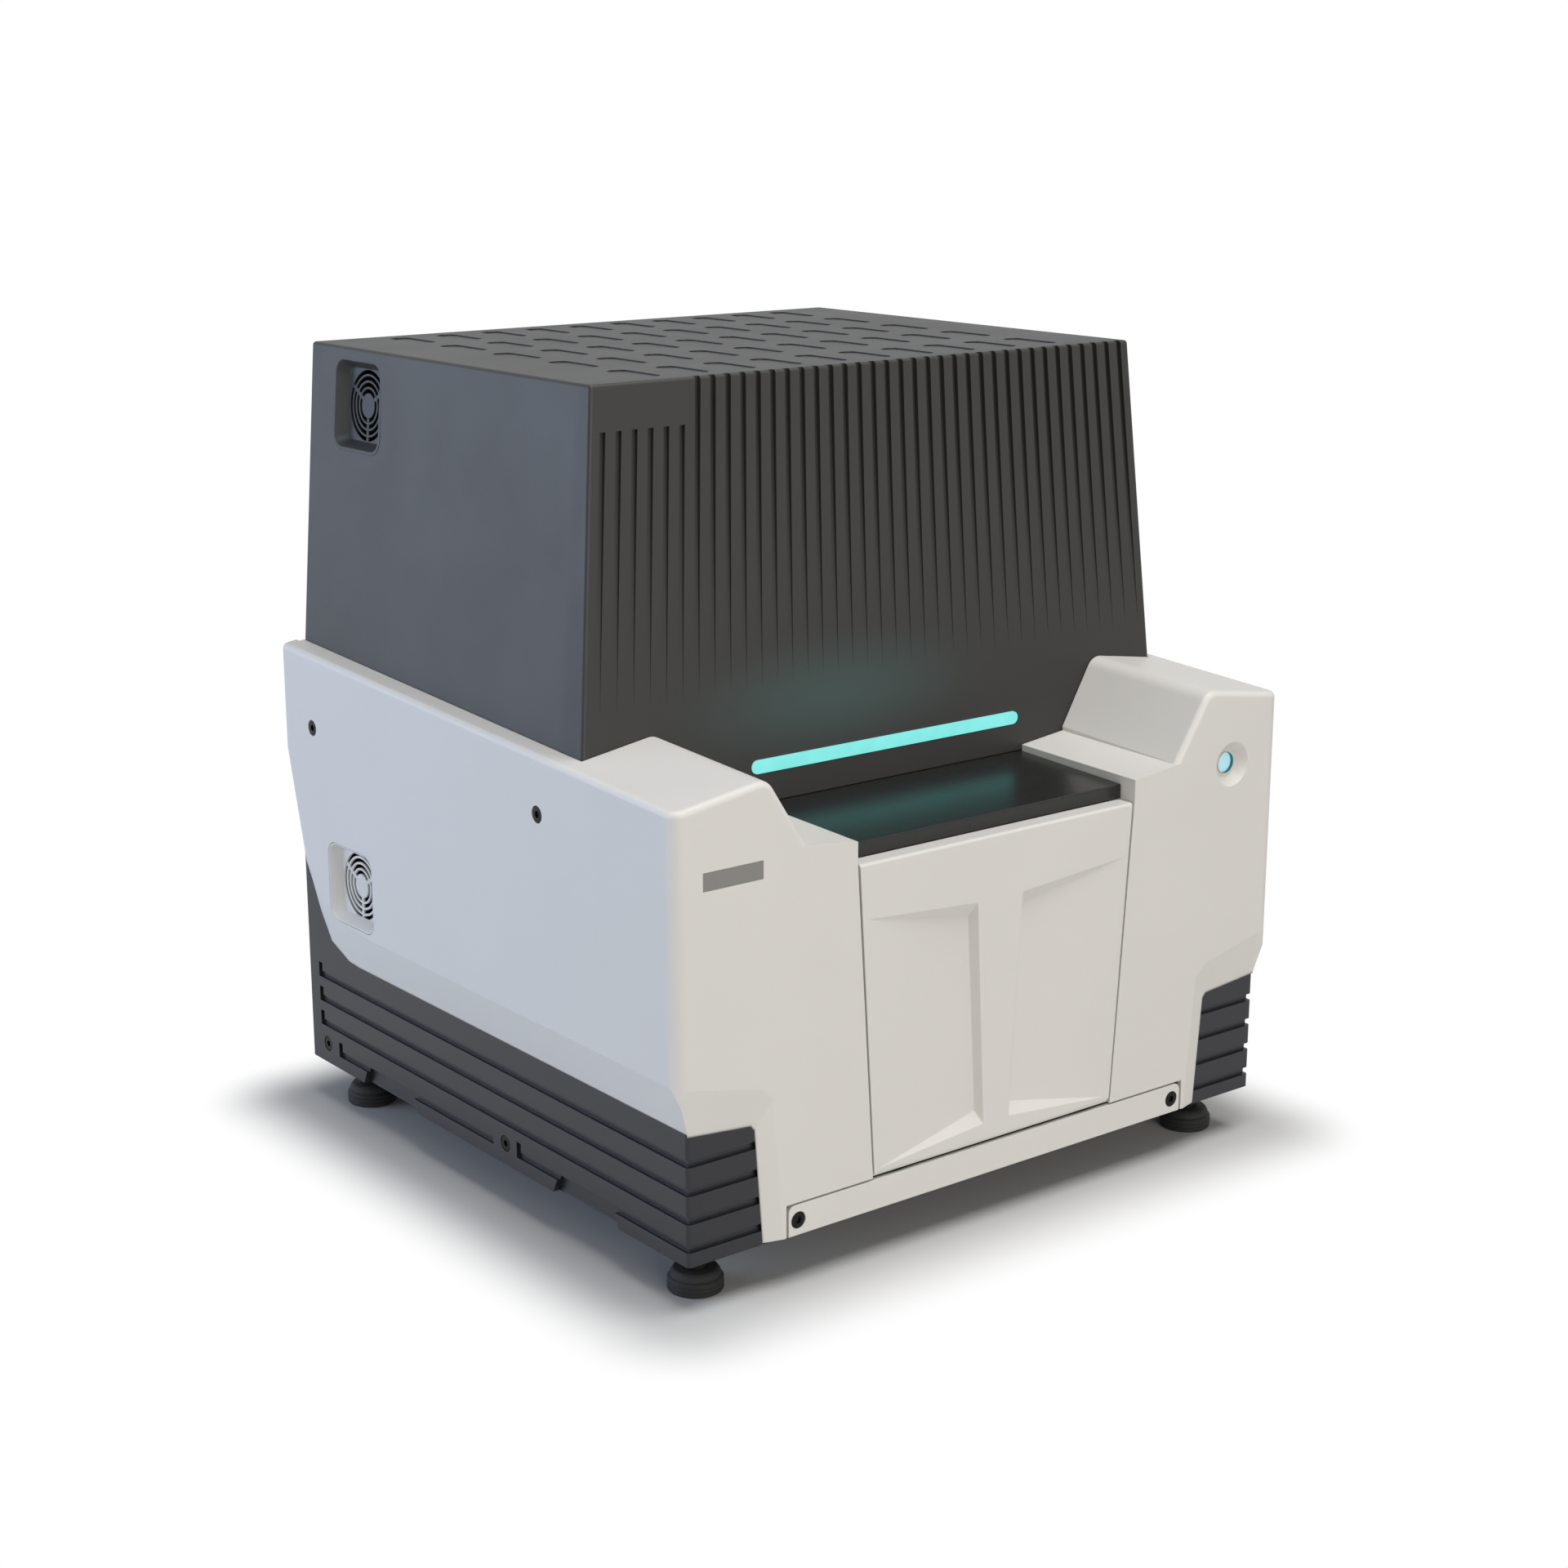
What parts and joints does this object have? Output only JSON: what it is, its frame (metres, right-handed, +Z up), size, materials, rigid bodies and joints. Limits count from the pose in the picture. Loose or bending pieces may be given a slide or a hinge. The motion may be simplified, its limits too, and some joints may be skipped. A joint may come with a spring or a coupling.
{
  "type": "biolayer interferometry system",
  "caption": "Bench instrument with white side shells, a ribbed dark hood, a drop-down front door over a sample stage and a sensor head on a gantry.",
  "frame": {"origin": "centre of the instrument's footprint on the bench", "axes": "+X the instrument's right, +Y its back, +Z up"},
  "size_m": [0.6, 0.548, 0.6433],
  "materials": {
    "white_shell": "satin",
    "dark_base": "satin",
    "dark_hood": "matt",
    "rear_sheet": "matt",
    "steel_sheet": "zinc plated",
    "aluminium": "anodised",
    "rail_steel": "ground",
    "instrument_black": "matt",
    "engineering_plastic": "matt",
    "screw_black": "blackened",
    "foot_rubber": "matt",
    "light_cyan": "lit diffuser",
    "ring_blue": "lit diffuser",
    "button_white": "satin",
    "badge_grey": "anodised",
    "rocker_black": "gloss",
    "board_green": "solder mask",
    "supply_steel": "zinc plated",
    "tip_clear": "clear",
    "labware_black": "matt",
    "labware_blue": "matt",
    "fibre_orange": "satin"
  },
  "bodies": {
    "chassis": {"base_tub": "dark_base", "base_plate": "steel_sheet", "rear_panel": "rear_sheet", "left_side_shell": "white_shell", "right_side_shell": "white_shell", "bottom_strip": "white_shell", "strip_screws": "screw_black", "shell_screws": "screw_black", "base_screws": "screw_black", "shell_brackets": "steel_sheet", "hood_shell": "dark_hood", "light_bar": "light_cyan", "upper_vent_cup": "dark_hood", "lower_vent_cup": "white_shell", "upper_fan_frame": "instrument_black", "lower_fan_frame": "instrument_black", "deck_rails": "engineering_plastic", "bay_walls": "steel_sheet", "door_brackets": "engineering_plastic", "button_ring": "ring_blue", "button_switch": "engineering_plastic", "name_badge": "badge_grey", "foot_nuts": "rail_steel", "mains_inlet": "engineering_plastic", "port_block": "engineering_plastic", "power_supply": "supply_steel", "controller_board": "board_green", "board_standoffs": "engineering_plastic", "left_upright": "steel_sheet", "right_upright": "steel_sheet", "gantry_beam": "aluminium", "x_rail": "rail_steel", "stage_bed": "aluminium", "stage_rails": "rail_steel", "screw_bearings": "instrument_black", "stage_motor": "instrument_black"},
    "deck": {"deck_cover": "dark_base"},
    "door": {"front_door": "white_shell", "door_pins": "rail_steel"},
    "button": {"power_button": "button_white"},
    "rocker": {"rocker_switch": "rocker_black"},
    "carriage": {"x_carriage": "aluminium", "z_rail": "rail_steel"},
    "head": {"head_plate": "aluminium", "sensor_head": "engineering_plastic", "sensor_tips": "tip_clear", "spectrometer": "instrument_black", "light_source": "aluminium", "fibre_bundle": "fibre_orange"},
    "stage": {"stage_plate": "aluminium", "heater_block": "aluminium", "sample_plate": "labware_black", "sensor_tray": "labware_blue"},
    "leadscrew": {"stage_screw": "rail_steel"},
    "upper_fan": {"upper_fan_rotor": "instrument_black"},
    "lower_fan": {"lower_fan_rotor": "instrument_black"},
    "front_left_foot": {"foot_front_left": "foot_rubber"},
    "front_right_foot": {"foot_front_right": "foot_rubber"},
    "rear_left_foot": {"foot_rear_left": "foot_rubber"},
    "rear_right_foot": {"foot_rear_right": "foot_rubber"}
  },
  "joints": [
    {"name": "deck_slide", "type": "slide", "parent": "chassis", "child": "deck", "axis": [0, 0.9992, 0.0396], "range_m": [0, 0.095]},
    {"name": "door_hinge", "type": "hinge", "parent": "chassis", "child": "door", "pos_m": [0, -0.266, 0.0721], "axis": [1, 0, 0], "range_deg": [0, 90]},
    {"name": "button_press", "type": "slide", "parent": "chassis", "child": "button", "axis": [0, 1, 0], "range_m": [0, 0.002], "stiffness_N_per_m": 400},
    {"name": "rocker_tip", "type": "hinge", "parent": "chassis", "child": "rocker", "pos_m": [-0.19, 0.27, 0.124], "axis": [1, 0, 0], "range_deg": [-8, 8]},
    {"name": "head_cross", "type": "slide", "parent": "chassis", "child": "carriage", "axis": [1, 0, 0], "range_m": [0, 0.099]},
    {"name": "head_lower", "type": "slide", "parent": "carriage", "child": "head", "axis": [0, 0, -1], "range_m": [0, 0.047]},
    {"name": "stage_travel", "type": "slide", "parent": "chassis", "child": "stage", "axis": [0, 1, 0], "range_m": [0, 0.212]},
    {"name": "screw_turn", "type": "hinge", "parent": "chassis", "child": "leadscrew", "pos_m": [0, 0, 0.1345], "axis": [0, 1, 0], "continuous": true},
    {"name": "upper_fan_spin", "type": "hinge", "parent": "chassis", "child": "upper_fan", "pos_m": [-0.2345, 0.1935, 0.6005], "axis": [1, 0, 0], "continuous": true},
    {"name": "lower_fan_spin", "type": "hinge", "parent": "chassis", "child": "lower_fan", "pos_m": [-0.268, 0.1747, 0.213], "axis": [1, 0, 0], "continuous": true},
    {"name": "front_left_foot_turn", "type": "hinge", "parent": "chassis", "child": "front_left_foot", "pos_m": [-0.254, -0.232, 0.02], "axis": [0, 0, 1], "continuous": true},
    {"name": "front_right_foot_turn", "type": "hinge", "parent": "chassis", "child": "front_right_foot", "pos_m": [0.254, -0.232, 0.02], "axis": [0, 0, 1], "continuous": true},
    {"name": "rear_left_foot_turn", "type": "hinge", "parent": "chassis", "child": "rear_left_foot", "pos_m": [-0.254, 0.2364, 0.02], "axis": [0, 0, 1], "continuous": true},
    {"name": "rear_right_foot_turn", "type": "hinge", "parent": "chassis", "child": "rear_right_foot", "pos_m": [0.254, 0.2364, 0.02], "axis": [0, 0, 1], "continuous": true}
  ],
  "couplings": [
    {"joint": "screw_turn", "follows": "stage_travel", "rad_per_m": 628.32}
  ]
}
